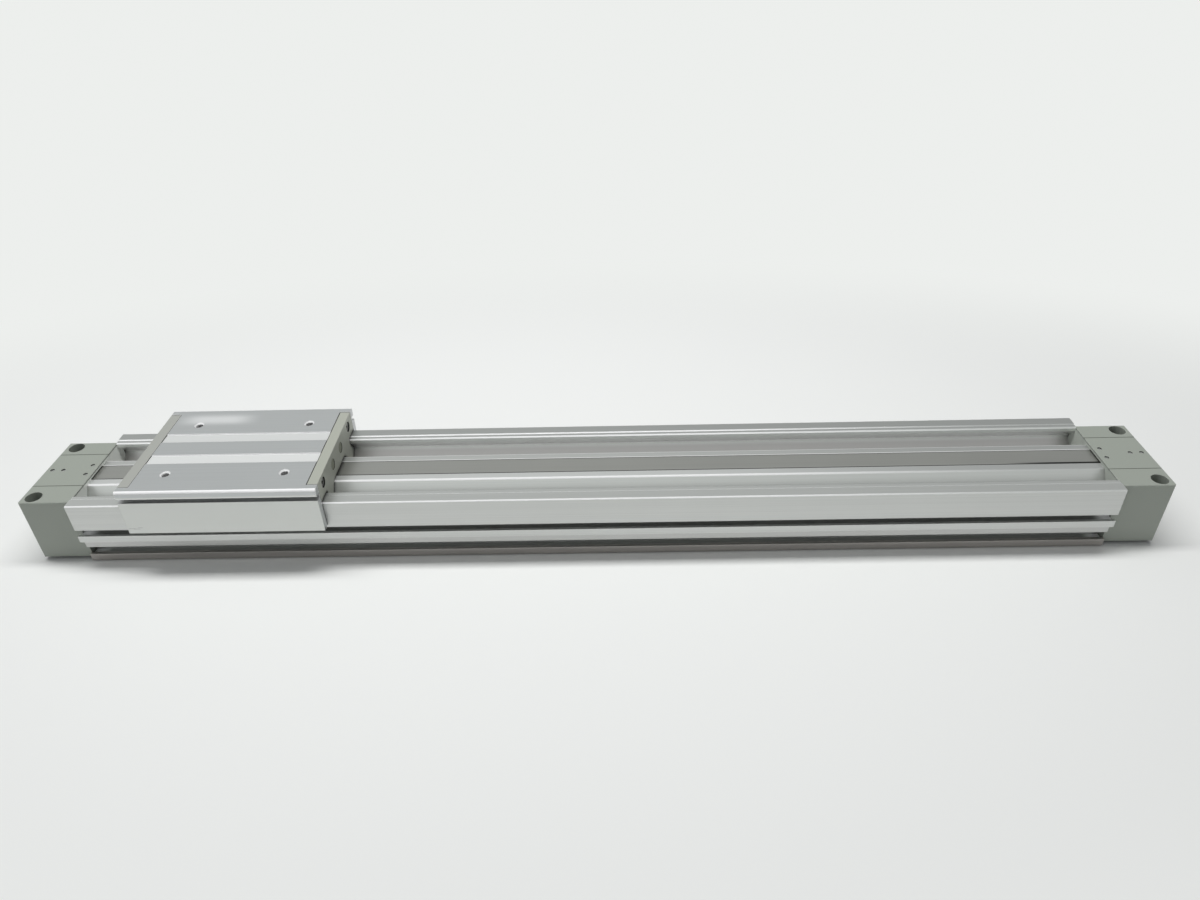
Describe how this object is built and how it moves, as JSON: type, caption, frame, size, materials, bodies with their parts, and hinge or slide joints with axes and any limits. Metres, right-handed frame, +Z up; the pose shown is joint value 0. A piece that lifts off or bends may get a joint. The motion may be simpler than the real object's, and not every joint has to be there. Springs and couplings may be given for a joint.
{
  "type": "rodless pneumatic cylinder",
  "caption": "Slotted-barrel rodless air cylinder: a guided carriage slides along a grooved aluminium extrusion, driven through the slot by an internal piston.",
  "frame": {"origin": "under the middle of the barrel, on the plane of its base", "axes": "+X along the stroke towards the right end cap, +Y towards the rear side, +Z up through the carriage top"},
  "size_m": [0.77, 0.1, 0.0665],
  "materials": {
    "anodised": "satin anodised extrusion",
    "cap_grey": "matt grey coating",
    "band_steel": "rolled steel strip",
    "screw_steel": "blackened steel",
    "black_rubber": "moulded elastomer",
    "brass": "turned brass",
    "plate_grey": "matt warm grey coating",
    "pad_plastic": "bearing plastic",
    "guide_plastic": "black bearing plastic",
    "magnet": "bonded magnet"
  },
  "bodies": {
    "barrel": {"cylinder_profile": "anodised", "end_cap_left": "cap_grey", "end_cap_right": "cap_grey", "band_cover_left": "cap_grey", "band_cover_right": "cap_grey", "cover_band": "band_steel", "sealing_band": "band_steel", "band_set_screws": "screw_steel", "cover_screws": "screw_steel", "cap_screws": "screw_steel", "cap_o_rings": "black_rubber", "cushion_spigot_left": "brass", "cushion_spigot_right": "brass", "end_buffers": "black_rubber"},
    "carriage": {"carriage_plate": "anodised", "end_plate_left": "plate_grey", "end_plate_right": "plate_grey", "wiper_left": "black_rubber", "wiper_right": "black_rubber", "end_plate_screws": "screw_steel", "end_plate_plugs": "plate_grey", "slide_pads_front": "pad_plastic", "slide_pads_rear": "pad_plastic", "band_guides": "guide_plastic", "drive_yoke": "anodised", "piston_head_left": "anodised", "piston_head_right": "anodised", "piston_seals": "black_rubber", "wear_rings": "pad_plastic", "magnet_ring": "magnet", "cushion_seals": "black_rubber", "piston_screws": "screw_steel"},
    "needle_left": {"cushion_needle_left": "brass"},
    "needle_right": {"cushion_needle_right": "brass"}
  },
  "joints": [
    {"name": "carriage_slide", "type": "slide", "parent": "barrel", "child": "carriage", "axis": [1, 0, 0], "range_m": [-0.007, 0.493], "deforming": ["cover_band", "sealing_band"]},
    {"name": "needle_left_turn", "type": "hinge", "parent": "barrel", "child": "needle_left", "pos_m": [-0.379, 0, 0.037], "axis": [-1, 0, 0], "range_deg": [-270, 270]},
    {"name": "needle_right_turn", "type": "hinge", "parent": "barrel", "child": "needle_right", "pos_m": [0.379, 0, 0.037], "axis": [1, 0, 0], "range_deg": [-270, 270]}
  ]
}
